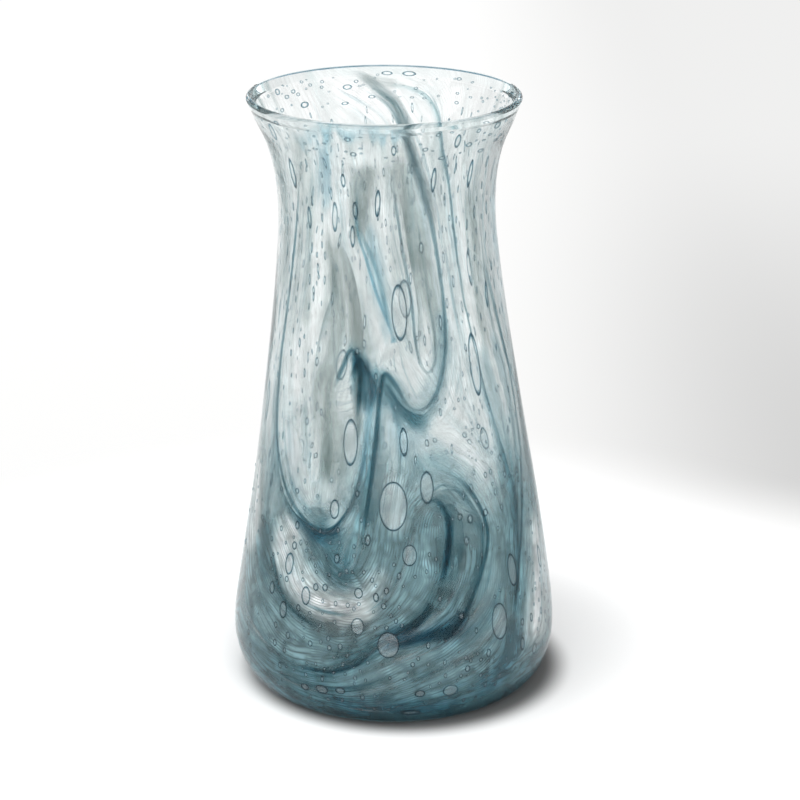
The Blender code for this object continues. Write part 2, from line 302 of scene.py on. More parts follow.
def flow_field():
    """Every path pulls the flow its own way nearby; elsewhere it stands upright, and level by the foot."""
    pull = np.zeros(grid_azimuth.shape)
    across = np.zeros(grid_azimuth.shape)
    for points in FLOWS + [path for _, path in TRAILS.values()]:
        path = smooth_path(points, 2.0)
        way = np.gradient(path, axis=0)
        angle = 2 * np.arctan2(way[:, 1], way[:, 0])
        for (a, h), twice in zip(path, angle):
            d2 = turned_apart(grid_azimuth, a) ** 2 + (grid_height - h) ** 2 + 9.0
            weight = d2**-2
            pull += weight * np.cos(twice)
            across += weight * np.sin(twice)
    pull_at_22_mm, pull_at_12_mm = 6 * 22.0**-4, 6 * 12.0**-4  # of about six points of a path
    upright = pull_at_22_mm * np.clip((grid_height - 20) / 60, 0, 1)
    level = pull_at_12_mm * np.clip((18 - grid_height) / 12, 0, 1)
    return pull - upright + level, across


flow_pull, flow_across = flow_field()
flow_size = np.hypot(flow_pull, flow_across)
flow_pull, flow_across = flow_pull / flow_size, flow_across / flow_size


def sampled(grid, i, j, eased=False):
    """Values between the cells of a grid that wraps round the vase in its first direction."""
    i, j = i % grid.shape[0], np.clip(j, 0, grid.shape[1] - 1.001)
    i0, j0 = i.astype(int) % grid.shape[0], j.astype(int)
    i1, j1 = (i0 + 1) % grid.shape[0], j0 + 1
    s, t = i - np.floor(i), j - j0
    if eased:
        s, t = s * s * (3 - 2 * s), t * t * (3 - 2 * t)
    return (1 - s) * ((1 - t) * grid[i0, j0] + t * grid[i0, j1]) + s * (
        (1 - t) * grid[i1, j0] + t * grid[i1, j1]
    )


def flow_at(azimuth, height):
    """Unit direction of the flow at each place. Its sign has no meaning."""
    i, j = azimuth / GRID_STEP, height / GRID_STEP
    half = 0.5 * np.arctan2(sampled(flow_across, i, j), sampled(flow_pull, i, j))
    return np.cos(half), np.sin(half)


def walk(azimuth, height, steps, way, step=2.0):
    """Walks from many places at once along the flow: the places after each step."""
    a, h = np.array(azimuth, float), np.array(height, float)
    last_u = last_v = None
    places = []
    for _ in range(steps):
        u, v = flow_at(a, h)
        turn = way if last_u is None else np.where(u * last_u + v * last_v < 0, -1.0, 1.0)
        last_u, last_v = u * turn, v * turn
        a, h = a + last_u * step, h + last_v * step
        places.append((a, h))
    return places


LOWEST, HIGHEST = 1.5, 246.0  # decoration stays between these heights, in millimetres


def follow_all(azimuth, height, length, step=2.0):
    """Paths along the flow through many places, each with its own length."""
    steps = int(0.5 * max(length) / step)
    both = [walk(azimuth, height, steps, way, step) for way in (1, -1)]
    paths = []
    for k in range(len(azimuth)):
        halves = []
        for places in both:
            half = []
            for a, h in places[: int(0.5 * length[k] / step)]:
                if not LOWEST < h[k] < HIGHEST:
                    break
                half.append((a[k], h[k]))
            halves.append(half)
        paths.append(np.array(halves[1][::-1] + [(azimuth[k], height[k])] + halves[0]))
    return paths


def drawn_out(azimuth, height, cell, reach, seed):
    """Noise drawn out along the flow, as worked glass draws out its colour, with mean 0 and spread 1."""
    draw = np.random.default_rng(seed)
    checks = 4000  # places drawn at random, from which the noise's mean and spread are taken
    azimuth = np.r_[draw.uniform(0, 360, checks), azimuth]
    height = np.r_[draw.uniform(0, 245, checks), height]
    columns, rows = round(360 / cell), int(252 / cell) + 2
    speckle = draw.random((columns, rows))
    total = np.zeros(len(azimuth))

    step = 1.5
    places = [(azimuth, height)]
    for way in (1, -1):
        places += walk(azimuth, height, int(reach / step), way, step)
    for a, h in places:
        total += sampled(speckle, a * columns / 360, h / cell, eased=True)
    return (total[checks:] - total[:checks].mean()) / total[:checks].std()


# ---------------------------------------------------------------------------------------------------------
# Materials
# ---------------------------------------------------------------------------------------------------------


class Nodes:
    """Short hand for building a material's nodes."""

    def __init__(self, name, world=False):
        self.owner = (bpy.data.worlds if world else bpy.data.materials).new(name)
        self.owner.use_nodes = True
        self.tree = self.owner.node_tree
        self.tree.nodes.clear()

    def add(self, kind, inputs=None, **settings):
        node = self.tree.nodes.new(kind)
        for key, value in settings.items():
            setattr(node, key, value)
        for key, value in (inputs or {}).items():
            self.feed(node.inputs[key], value)
        return node

    def feed(self, socket, value):
        if isinstance(value, bpy.types.NodeSocket):
            self.tree.links.new(value, socket)
        elif isinstance(value, bpy.types.Node):
            self.tree.links.new(value.outputs[0], socket)
        elif isinstance(value, tuple) and len(value) == 3 and socket.type == "RGBA":
            socket.default_value = (*value, 1.0)
        else:
            socket.default_value = value

    def math(self, operation, a, b=0.0, clamp=False):
        return self.add("ShaderNodeMath", {0: a, 1: b}, operation=operation, use_clamp=clamp).outputs[0]

    def times(self, a, b, clamp=False):
        return self.math("MULTIPLY", a, b, clamp)

    def plus(self, a, b):
        return self.math("ADD", a, b)

    def minus(self, a, b):
        return self.math("SUBTRACT", a, b)

    def attribute(self, name, output="Fac"):
        return self.add("ShaderNodeAttribute", attribute_name=name).outputs[output]

    def ramp(self, value, low, high, to_low=0.0, to_high=1.0):
        return self.add(
            "ShaderNodeMapRange",
            {"Value": value, "From Min": low, "From Max": high, "To Min": to_low, "To Max": to_high},
            interpolation_type="SMOOTHSTEP",
        ).outputs[0]

    def mix_colour(self, factor, a, b, blend="MIX"):
        node = self.add("ShaderNodeMix", data_type="RGBA", blend_type=blend)
        for index, value in ((0, factor), (6, a), (7, b)):
            self.feed(node.inputs[index], value)
        return node.outputs[2]

    def noise(self, vector, scale, detail=3.0, roughness=0.6):
        return self.add(
            "ShaderNodeTexNoise",
            {"Vector": vector, "Scale": scale, "Detail": detail, "Roughness": roughness},
        ).outputs["Fac"]

    def mix(self, factor, a, b):
        return self.add("ShaderNodeMixShader", {0: factor, 1: a, 2: b}).outputs[0]

    def milky(self, tint, body, amount):
        """Glass that tints what shows through it and scatters an amount of the light with its body colour."""
        clear = self.add("ShaderNodeBsdfTransparent", {"Color": tint}).outputs[0]
        front = self.add("ShaderNodeBsdfDiffuse", {"Color": body}).outputs[0]
        through = self.add("ShaderNodeBsdfTranslucent", {"Color": body}).outputs[0]
        return self.mix(amount, clear, self.mix(0.5, front, through))

    def done(self, surface):
        for_world = isinstance(self.owner, bpy.types.World)
        self.add("ShaderNodeOutputWorld" if for_world else "ShaderNodeOutputMaterial", {"Surface": surface})
        return self.owner


def refracting_glass(name, ior, roughness, tint):
    n = Nodes(name)
    place = n.add("ShaderNodeTexCoord").outputs["Object"]
    ripple = n.noise(place, 55.0, 2.0)
    bump = n.add("ShaderNodeBump", {"Height": ripple, "Strength": 0.12, "Distance": 0.001})
    shader = n.add("ShaderNodeBsdfPrincipled", {
        "Base Color": tint, "Roughness": roughness, "IOR": ior, "Transmission Weight": 1.0,
        "Normal": bump.outputs[0],
    })
    return n.done(shader.outputs[0])


def fused_join():
    n = Nodes("fused_join")
    return n.done(n.add("ShaderNodeBsdfTransparent", {"Color": (1.0, 1.0, 1.0)}).outputs[0])


def streaked_glass(name):
    """Coloured glass in the wall. A mesh's attributes say how much it tints and how much it scatters."""
    n = Nodes(name)
    across = n.attribute("across")
    one_sided = n.attribute("one_sided")
    fade = n.attribute("fade")
    fibres = n.attribute("fibres")
    grain = n.attribute("grain", "Vector")

    soft = n.math("POWER", n.minus(1.0, n.times(across, across)), 1.3)
    slope = n.math("POWER", n.times(n.plus(across, 1.0), 0.5), 2.6)
    edge = n.ramp(across, 1.0, 0.86)
    sided = n.times(slope, edge)
    profile = n.add("ShaderNodeMix", {0: one_sided, 2: soft, 3: sided}, data_type="FLOAT").outputs[0]

    strands = n.ramp(n.noise(grain, 1.0, 4.0, 0.62), 0.33, 0.68)
    kept = n.minus(1.0, n.times(fibres, n.minus(1.0, strands)))
    strength = n.times(n.times(profile, fade), kept, clamp=True)

    tint = n.mix_colour(strength, (1.0, 1.0, 1.0), n.attribute("tint", "Color"))
    amount = n.times(strength, n.attribute("milk"), clamp=True)
    return n.done(n.milky(tint, n.attribute("body", "Color"), amount))


def combed_glass(name):
    """The colour skin's glass. Its fibres follow the flow, held by the mesh as a doubled angle's vector."""
    n = Nodes(name)
    place = n.attribute("grain", "Vector")
    flow = n.add("ShaderNodeSeparateXYZ", {0: n.attribute("flow", "Vector")})
    along = n.times(n.math("ARCTAN2", flow.outputs[1], flow.outputs[0]), 0.5)
    across = n.plus(along, 0.5 * math.pi)

    def fibres(scale, waves_per_cell):
        stripes = n.add("ShaderNodeTexGabor", {
            "Vector": place, "Scale": scale, "Frequency": waves_per_cell, "Anisotropy": 0.96,
            "Orientation": across,
        }, gabor_type="2D").outputs["Value"]
        swing = n.math("ABSOLUTE", n.minus(stripes, 0.5))
        return n.ramp(swing, 0.0, 0.20)

    patches = n.ramp(n.noise(place, 0.11, 2.0), 0.35, 0.65)
    fine, broad = fibres(0.16, 2.6), fibres(0.085, 2.0)
    strands = n.add("ShaderNodeMix", {0: patches, 2: fine, 3: broad}, data_type="FLOAT").outputs[0]
    uneven = n.ramp(n.noise(place, 0.06, 3.0), 0.30, 0.62, 0.35, 1.25)
    strong = n.times(n.attribute("combing"), uneven)
    combing = n.times(strong, n.minus(strands, 0.5))

    def scaled(colour, gain):
        """The colour times 1 + gain x combing."""
        level = n.plus(1.0, n.times(combing, gain))
        grey = n.add("ShaderNodeCombineXYZ", {0: level, 1: level, 2: level}).outputs[0]
        return n.add("ShaderNodeVectorMath", {0: colour, 1: grey}, operation="MULTIPLY").outputs[0]

    body = scaled(n.attribute("body", "Color"), 0.50)
    tint = scaled(n.attribute("tint", "Color"), 0.18)
    thicker = n.plus(1.0, n.times(combing, 0.35))
    milk = n.times(n.attribute("milk"), thicker, clamp=True)
    return n.done(n.milky(tint, body, milk))


def trapped_air():
    """A bubble in the wall: clear in the middle, with painted shade round its outline for the dark edge that
    refraction gives a real bubble.
    """
    n = Nodes("trapped_air")
    rim = n.ramp(n.attribute("rim"), 0.0, 0.9)
    inside = n.add("ShaderNodeBsdfTransparent", {"Color": (1.0, 1.0, 1.0)}).outputs[0]
    lens = n.add("ShaderNodeBsdfGlass", {"Color": (1.0, 1.0, 1.0), "Roughness": 0.0, "IOR": 0.8}).outputs[0]
    gleam = n.add("ShaderNodeBsdfGlossy", {"Color": (1.0, 1.0, 1.0), "Roughness": 0.1}).outputs[0]
    # Painted shade: this dark teal edge stands in for the darkness that refraction gives a bubble's outline
    edge = n.add("ShaderNodeBsdfTransparent", {"Color": (0.20, 0.39, 0.46)}).outputs[0]
    middle = n.mix(0.035, n.mix(0.06, inside, lens), gleam)
    return n.done(n.mix(rim, middle, edge))


CLEAR = refracting_glass("clear_glass", 1.25, 0.0, (0.985, 0.996, 0.997))
LIP = refracting_glass("lip_glass", 1.07, 0.0, (0.95, 0.98, 0.985))
GROUND = refracting_glass("ground_glass", 1.25, 0.3, (0.95, 0.97, 0.97))
JOIN = fused_join()
STREAKED = streaked_glass("streaked_glass")
COMBED = combed_glass("combed_glass")
AIR = trapped_air()

# ---------------------------------------------------------------------------------------------------------
# Meshes
# ---------------------------------------------------------------------------------------------------------


def add_piece(
    name, points, faces, materials, face_materials=None, replaces=(), sharp_corners=False
):
    mesh = bpy.data.meshes.new(name)
    mesh.from_pydata(np.asarray(points).tolist(), [], faces)
    for material in materials:
        mesh.materials.append(material)
    if face_materials is not None:
        mesh.polygons.foreach_set("material_index", face_materials)
    mesh.shade_smooth()
    if sharp_corners:
        mesh.set_sharp_from_angle(angle=math.radians(40))
    piece = bpy.data.objects.new(name, mesh)
    bpy.context.scene.collection.objects.link(piece)
    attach(piece, "root")
    if replaces:
        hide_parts(*replaces)
    return piece


def give(piece, **values):
    """Stores per-vertex attributes: numbers, vectors or colours by their width."""
    for key, value in values.items():
        value = np.asarray(value, np.float32)
        if value.ndim == 1:
            layer = piece.data.attributes.new(key, "FLOAT", "POINT")
            layer.data.foreach_set("value", value)
        elif key in ("grain", "flow"):
            layer = piece.data.attributes.new(key, "FLOAT_VECTOR", "POINT")
            layer.data.foreach_set("vector", value.ravel())
        else:
            layer = piece.data.attributes.new(key, "FLOAT_COLOR", "POINT")
            layer.data.foreach_set("color", np.c_[value, np.ones(len(value))].astype(np.float32).ravel())


def ring_faces(starts, columns, flip=False):
    """Faces between rows of vertices, each a ring or one pole, and the row that each face starts from."""
    faces, rows = [], []
    for i, (a, b, end) in enumerate(zip(starts, starts[1:], starts[2:])):
        for c in range(columns):
            d = (c + 1) % columns
            if b - a == 1:
                face = (a, b + d, b + c)
            elif end - b == 1:
                face = (a + c, a + d, b)
            else:
                face = (a + c, a + d, b + d, b + c)
            faces.append((face[0],) + face[:0:-1] if flip else face)
            rows.append(i)
    return faces, rows


def turned(profile, columns):
    """Points and faces round a list of (radius, height) rows, with a pole where a row's radius is 0."""
    azimuth = np.arange(columns) * 2 * math.pi / columns
    points, starts = [], []
    for radius, height in profile:
        starts.append(len(points))
        if np.ndim(radius) == 0 and radius < 1e-9:
            points.append((lean(height), 0.0, height))
            continue
        radius, height = np.broadcast_to(radius, azimuth.shape), np.broadcast_to(height, azimuth.shape)
        ring = [lean(height) + radius * np.sin(azimuth), -radius * np.cos(azimuth), height]
        points += np.stack(ring, -1).tolist()
    return points, *ring_faces(starts + [len(points)], columns)


def waves(columns, heights, size, seed):
    """Gentle unevenness of a surface worked by hand, as offsets for (rows, columns)."""
    draw = np.random.default_rng(seed)
    azimuth = np.arange(columns) * 2 * math.pi / columns
    total = np.zeros((len(heights), columns))
    for _ in range(26):
        turns = draw.integers(1, 10)
        rise = draw.uniform(5, 60)
        phase = draw.uniform(0, 2 * math.pi, 2)
        weight = draw.normal() / (1 + 0.25 * turns)
        up, round_way = np.sin(heights * rise + phase[0]), np.sin(turns * azimuth + phase[1])
        total += weight * np.outer(up, round_way)
    return size * total / np.abs(total).std() / 2


COLUMNS = 240
OUTSIDE_WAVES, BORE_WAVES = 0.00022, 0.00030
CLEARANCE = 0.0003  # between the CAD's layers
GATHER_SHARE = 3.1 / 4.4  # the gather's outside lies 3.1 mm deep in the wall's 4.4 mm
KICK_STEPS = (0.8, 0.6, 0.4, 0.2, 0.0)
REFRACTS, GROUND_FACE, FUSED, LIP_FACE = range(4)  # the casing's materials


def fade_ends(z):
    """0 at the foot and at the lip and 1 along the wall."""
    return np.clip((z - 0.004) / 0.02, 0, 1) * np.clip((LEDGE - 0.004 - z) / 0.02, 0, 1)


def kick_rise(share):
    """How far a floor has been pushed up at a share of its radius."""
    return KICK_HEIGHT * math.cos(0.5 * math.pi * share)


def up_heel(rows):
    """Heights up the heel at even turns, without its top."""
    return BELLY_HEIGHT * (1 - np.sin(np.linspace(0.5 * math.pi, 0, rows)[:-1]))


class Profile:
    """The outline of a turned piece: its rows, and the material of the faces that start from each."""

    def __init__(self):
        self.rows, self.kinds, self.on_heights = [], [], []

    def row(self, radius, height, kind, on_height=0.0):
        self.rows.append((radius, height))
        self.kinds.append(kind)
        self.on_heights.append(on_height)

    def layer(self, heights, share, kind, uneven=None):
        """Rows at a depth share in the wall, for heights on the outside of the vase."""
        for k, z in enumerate(heights):
            radius, height = wall_section(z, share)
            self.row(float(radius) + (0 if uneven is None else uneven[k]), float(height), kind, z)

    def floor_out(self, share, kind):
        """Rows from the middle of a layer's underside out towards its heel."""
        height = float(wall_section(0.0, share)[1])
        for out in KICK_STEPS[::-1]:
            self.row(out * HEEL_CENTRE, height + kick_rise(out), kind)

    def floor_in(self, kind):
        """Rows from the edge of a floor up over the kick to its middle."""
        radius, height = self.rows[-1]
        for out in KICK_STEPS:
            self.row(out * radius, height + kick_rise(out), kind)

    def build(self, name, materials, slot, replaces, sharp_corners=False, columns=COLUMNS):
        points, faces, rows = turned(self.rows, columns)
        kinds = [self.kinds[i] for i in rows]
        return add_piece(name, points, faces, materials, kinds, replaces, sharp_corners)


def build_casing():
    """Foot, outside of the wall and lip refract; the inside faces are fused to the next layer."""
    casing = Profile()
    dish_radius, dish_depth = 0.0135, 0.0007
    for share in (0.0, 0.5, 0.9, 1.0):
        rise = kick_rise(share * dish_radius / RING_INNER)
        casing.row(share * dish_radius, rise + dish_depth * (1 - share**2), GROUND_FACE)
    for share in np.linspace(dish_radius / RING_INNER, 1, 14)[1:]:
        casing.row(share * RING_INNER, kick_rise(share), REFRACTS if share < 0.999 else GROUND_FACE)
    casing.row(0.5 * (RING_INNER + FOOT_RADIUS), 0.0, GROUND_FACE)
    casing.row(FOOT_RADIUS, 0.0, REFRACTS)
    heights = np.r_[up_heel(26)[1:], np.linspace(BELLY_HEIGHT, outer_z[-1], 150)]
    uneven = waves(COLUMNS, heights, OUTSIDE_WAVES, 3) * fade_ends(heights)[:, None]
    casing.layer(heights, 0.0, REFRACTS, uneven)
    lean_out = math.asin((LIP_CENTRE_HEIGHT - outer_z[-1]) / LIP_HALF)
    for a in np.linspace(-lean_out, math.pi - lean_out, 18)[1:]:
        out, up = LIP_HALF * math.cos(a), LIP_HALF * math.sin(a)
        casing.row(LIP_CENTRE_RADIUS + out, LIP_CENTRE_HEIGHT + up, LIP_FACE)
    bore_at_ledge = np.interp(LEDGE, FINE_Z, FINE_BORE)
    casing.row(bore_at_ledge + 0.0008, LEDGE + 0.0012, REFRACTS)
    casing.row(bore_at_ledge, LEDGE, FUSED)
    casing.layer(np.linspace(LEDGE, BELLY_HEIGHT, 40), CASING_SHARE, FUSED)
    casing.layer(up_heel(10)[::-1], CASING_SHARE, FUSED)
    casing.floor_in(FUSED)
    casing.build(
        "outer_casing_glass", [CLEAR, GROUND, JOIN, LIP], "clear_glass", ["outer_casing"], sharp_corners=True
    )


def build_gather():
    """The bore refracts; the outside is fused to the colour skin."""
    gather = Profile()
    refracts, fused = 0, 1
    gather.floor_out(GATHER_SHARE, fused)
    gather.layer(np.r_[up_heel(10), np.linspace(BELLY_HEIGHT, LEDGE, 40)], GATHER_SHARE, fused)
    heights = np.linspace(LEDGE, BELLY_HEIGHT, 130)
    uneven = waves(COLUMNS, heights, BORE_WAVES, 11) * fade_ends(heights)[:, None]
    gather.layer(heights, 1.0, refracts, uneven)
    turn = np.linspace(0, 0.5 * math.pi, 18)[1:]
    gather.layer(up_heel(18)[::-1], 1.0, refracts, np.outer(np.cos(turn), uneven[-1]))
    gather.floor_in(refracts)
    gather.build("inner_gather_glass", [CLEAR, JOIN], "clear_glass", ["inner_gather"], sharp_corners=True)


build_casing()
build_gather()

# ---------------------------------------------------------------------------------------------------------
# Colour: the skin, the trails and the strokes of streaked glass
# ---------------------------------------------------------------------------------------------------------

WHITE = (0.88, 0.94, 0.94)
SLATE = (0.10, 0.19, 0.22)
TEAL = (0.012, 0.085, 0.12)
SMOKE = (0.30, 0.34, 0.33)

# How the powder colour looks: body colour, scattering, tint of what shows through
CLEARISH = ((0.58, 0.68, 0.69), 0.10, (0.89, 0.91, 0.91))
BLUE_GREY = ((0.325, 0.475, 0.505), 0.84, (0.53, 0.71, 0.74))
LOOKS = {
    "clear": ((0.80, 0.86, 0.86), 0.03, (0.97, 0.985, 0.985)),
    "white": ((0.97, 1.0, 0.99), 0.90, (0.97, 0.99, 0.99)),
    "smoke": ((0.36, 0.41, 0.40), 0.50, (0.64, 0.70, 0.69)),
    "blue": ((0.34, 0.50, 0.56), 0.50, (0.60, 0.80, 0.86)),
    "teal": ((0.10, 0.26, 0.31), 0.76, (0.36, 0.62, 0.68)),
    "navy": ((0.02, 0.15, 0.22), 0.95, (0.16, 0.44, 0.55)),
}

# Washes of the powder colour: look, reach, strength, path
WASHES = [
    ("clear", 13.0, 0.9, [(-135, 238), (-160, 238), (-180, 237), (-200, 238), (-225, 238)]),
    ("clear", 9.0, 0.7, [(-84, 236), (-86, 205), (-80, 170), (-76, 140)]),
    ("clear", 9.0, 0.7, [(86, 236), (86, 205), (80, 170)]),
    ("clear", 9.0, 0.9, [(-43, 228), (-45, 205), (-45, 185), (-46, 168)]),
    ("clear", 14.0, 0.9, [(-138, 216), (-145, 190), (-146, 165), (-140, 140)]),
    ("clear", 12.0, 0.8, [(128, 216), (130, 190), (126, 165), (120, 140)]),
    ("clear", 4.0, 0.6, [(-3, 214), (2, 199), (-2, 188)]),
    ("clear", 5.0, 0.6, [(40, 206), (45, 192), (50, 176)]),
    ("smoke", 7.0, 1.0, [(-28, 196), (-26, 189), (-23, 183), (-19, 174), (-16, 165), (-14, 157)]),
    ("smoke", 6.0, 0.6, [(-26, 182), (-30, 172), (-28, 160), (-28, 146)]),
    ("smoke", 8.0, 0.9, [(-33, 142), (-30, 127), (-27, 114), (-27, 110)]),
    ("smoke", 6.0, 0.6, [(7, 231), (11, 218), (15, 204), (19, 190), (21, 176), (20, 162)]),
    ("smoke", 5.5, 1.0, [(-9, 234), (-11, 226), (-14, 218), (-15, 207)]),
    ("smoke", 5.0, 0.4, [(3, 200), (5, 186), (7, 172), (8, 160)]),
    ("blue", 3.5, 0.6, [(-9, 205), (-6, 192), (-3, 178), (0, 166)]),
    ("smoke", 8.0, 0.3, [(-71, 232), (-79, 214), (-71, 196), (-70, 180)]),
    ("blue", 3.0, 0.6, [(-39, 242), (-27, 247), (-16, 249), (-5, 248), (5, 246)]),
    ("blue", 4.0, 0.5, [(-28, 241), (-30, 233), (-32, 225), (-33, 217)]),
    ("teal", 5.0, 1.0, [(-16, 155), (-14, 149), (-12, 142)]),
    ("teal", 4.0, 0.8, [(-11, 146), (-9, 138)]),
    ("blue", 3.0, 0.7, [(-11, 146), (-10, 136), (-10, 124), (-11, 112)]),
    ("navy", 2.6, 0.6, [(-16, 153), (-13, 154), (-9, 148), (-7, 141)]),
    ("teal", 4.0, 0.9, [(-4, 147), (-1, 140), (4, 133), (10, 130), (15, 129)]),
    ("blue", 5.0, 0.6, [(0, 136), (2, 128), (4, 120), (10, 122)]),
    ("teal", 2.5, 0.5, [(-4, 138), (-6, 122), (-8, 104), (-11, 90)]),
    ("teal", 6.0, 0.7, [(-28, 83), (-24, 75), (-20, 66)]),
    ("navy", 3.0, 0.8, [(-42, 84), (-35, 81), (-28, 80), (-23, 83)]),
    ("teal", 4.0, 0.5, [(-61, 76), (-62, 66), (-58, 56)]),
    ("teal", 4.0, 0.6, [(21, 95), (22, 80), (20, 66)]),
    ("teal", 5.0, 0.5, [(11, 112), (18, 113), (26, 109), (33, 101)]),
    ("teal", 4.0, 0.4, [(-45, 22), (-35, 22), (-26, 23), (-18, 29), (-11, 34), (-5, 38)]),
    ("teal", 5.0, 0.4, [(50, 150), (55, 120), (60, 98), (58, 70), (52, 45)]),
    ("navy", 6.0, 0.5, [(36, 14), (44, 22), (48, 32)]),
    ("navy", 5.0, 0.5, [(-20, 6), (0, 8), (20, 6)]),
    ("navy", 4.5, 0.8, [(0, 42), (9, 42), (16, 42), (24, 45)]),
    ("clear", 8.0, 1.0, [(-59, 150), (-54, 133), (-49, 117), (-44, 106), (-41, 98)]),
    ("white", 6.0, 0.8, [(-52, 118), (-47, 108), (-43, 101), (-40, 96)]),
    ("white", 8.0, 1.0, [
        (-45, 78), (-47, 70), (-42, 63), (-35, 57), (-28, 53), (-21, 51), (-15, 52),
    ]),
    ("white", 5.0, 0.45, [(-13, 54), (-9, 59), (-6, 65)]),
    ("white", 9.5, 1.0, [(74, 66), (72, 48), (66, 32)]),
    ("clear", 11.0, 1.0, [(36, 166), (38, 150), (37, 137), (39, 126), (42, 116)]),
    ("white", 8.0, 0.5, [(28, 122), (32, 116), (38, 110), (42, 105)]),
    ("clear", 7.0, 0.9, [(22, 130), (27, 128), (33, 122)]),
    ("white", 7.0, 0.8, [(-80, 98), (-76, 88), (-72, 78), (-74, 66)]),
    ("white", 5.0, 0.6, [(-30, 100), (-24, 94), (-22, 90)]),
    ("white", 2.5, 0.4, [(-14, 136), (-15, 128), (-16, 120)]),
    ("clear", 4.0, 1.0, [(-13, 238), (-3, 237), (6, 239), (13, 241)]),
    ("white", 5.0, 0.5, [(0, 104), (0, 90)]),
    ("smoke", 8.0, 0.6, [(-120, 220), (-124, 196), (-122, 172), (-126, 150)]),
    ("smoke", 7.0, 0.6, [(120, 200), (118, 180), (121, 160), (118, 142)]),
    ("blue", 6.0, 0.5, [(86, 226), (84, 206), (88, 186)]),
    ("teal", 6.0, 0.6, [(-100, 50), (-103, 80), (-98, 110), (-98, 140)]),
    ("teal", 6.0, 0.6, [(101, 46), (98, 76), (100, 110), (105, 140)]),
    ("teal", 6.0, 0.6, [(154, 140), (156, 116), (162, 102), (172, 98), (180, 108)]),
    ("white", 7.0, 0.7, [(-128, 100), (-122, 82), (-116, 66), (-120, 52)]),
    ("white", 7.0, 0.6, [(118, 84), (126, 66), (138, 54), (152, 52), (162, 60)]),
    ("white", 6.0, 0.6, [(-160, 84), (-168, 70), (-178, 60), (-188, 46)]),
]

# How high the blue-grey colour of the base has been pulled up: azimuth, height in millimetres
PULLED_UP = np.array([
    (-170, 62), (-140, 58), (-108, 82), (-88, 86), (-60, 80), (-35, 80), (-20, 86), (-12, 126), (-3, 116),
    (5, 108), (15, 100), (30, 94), (42, 90), (52, 102), (62, 108), (75, 94), (100, 80), (140, 66), (165, 62),
])


HEEL_DEEPENS = 20.0  # the colour turns deep teal below this height, in millimetres: partly the base's colour and partly painted shade where the heel turns under


def deep_colour(azimuth, height):
    """How dense the blue-grey colour of the base is at each place, 0 to 1."""
    edge = np.interp(azimuth, PULLED_UP[:, 0], PULLED_UP[:, 1], period=360)
    return 1 / (1 + np.exp((height - edge) / 8.0))


def skin_colour(azimuth, height):
    """Scattering, body colour and tint of the powder colour at each place on the wall."""
    broad = drawn_out(azimuth, height, 5.0, 30.0, 5)
    narrow = drawn_out(azimuth, height, 2.2, 22.0, 6)
    bright = drawn_out(azimuth, height, 3.0, 26.0, 8)
    dense = deep_colour(azimuth, height + 4.0 * broad)[..., None]
    body, milk, tint = (np.array(b) * dense + np.array(a) * (1 - dense) for a, b in zip(CLEARISH, BLUE_GREY))
    # Towards the foot the colour turns deep teal: partly the base's colour, partly painted shade where the
    # heel turns under towards the floor
    heel = (0.95 * np.exp(-((height / HEEL_DEEPENS) ** 2)))[..., None]
    body, milk, tint = (a + (np.array(b) - a) * heel for a, b in zip((body, milk, tint), LOOKS["teal"]))
    for look, reach, strength, path in WASHES:
        away = nearness(azimuth, height, smooth_path(path, 4.0)) + 0.8 * narrow
        amount = (strength * np.exp(-(np.abs(away / reach) ** 3)))[..., None]
        body, milk, tint = (a + (np.array(b) - a) * amount for a, b in zip((body, milk, tint), LOOKS[look]))
    milk = milk[..., 0] * np.exp(0.12 * broad + 0.10 * narrow)
    body = body * np.exp(0.12 * bright + 0.08 * narrow)[..., None]
    tint = tint ** np.exp(0.3 * broad + 0.25 * narrow)[..., None]
    return np.clip(milk, 0, 0.97), np.clip(body, 0, 0.97), np.clip(tint, 0.02, 1)


GRAIN_PER_DEGREE = 1.1  # millimetres of wall to a degree of azimuth, for the fibres
SKIN_COLUMNS = 320


def give_skin_colour(piece, azimuth, height, sheets=2):
    """Stores the powder colour on a piece that puts this many sheets in the thickness of the wall."""
    milk, body, tint = skin_colour(azimuth, height)
    round_way = turned_apart(azimuth, 0.0)
    along, up = flow_at(azimuth, height)
    flow = np.c_[along * along - up * up, 2 * along * up, 0 * along]
    grain = np.c_[round_way * GRAIN_PER_DEGREE, height, 0 * along]
    combing = (0.45 + 0.55 * deep_colour(azimuth, height)) * np.clip((180 - np.abs(round_way)) / 6, 0, 1)
    share = 1 / sheets
    milk, tint = 1 - (1 - milk) ** share, tint**share
    give(piece, flow=flow, grain=grain, combing=combing, milk=milk, body=body, tint=tint)


def build_skin():
    """The whole layer of powder colour, fused to the trails' side and to the gather."""
    skin = Profile()
    top = LEDGE - CLEARANCE
    skin.floor_out(SKIN_OUT_SHARE, 0)
    skin.layer(np.r_[up_heel(16), np.linspace(BELLY_HEIGHT, top, 190)], SKIN_OUT_SHARE, 0)
    skin.kinds[-1] = 1  # over the top edge
    skin.layer(np.linspace(top, BELLY_HEIGHT, 60), SKIN_IN_SHARE, 0)
    skin.layer(up_heel(10)[::-1], SKIN_IN_SHARE, 0)
    skin.floor_in(0)
    piece = skin.build(
        "colour_skin_glass", [COMBED, JOIN], "powder_colour", ["colour_skin"], columns=SKIN_COLUMNS
    )
    azimuth, height = [], []
    for (radius, _), z in zip(skin.rows, skin.on_heights):
        count = 1 if radius < 1e-9 else SKIN_COLUMNS
        azimuth += np.degrees(np.arange(count) * 2 * math.pi / SKIN_COLUMNS).tolist()
        height += [z / MM] * count
    give_skin_colour(piece, np.array(azimuth), np.array(height))


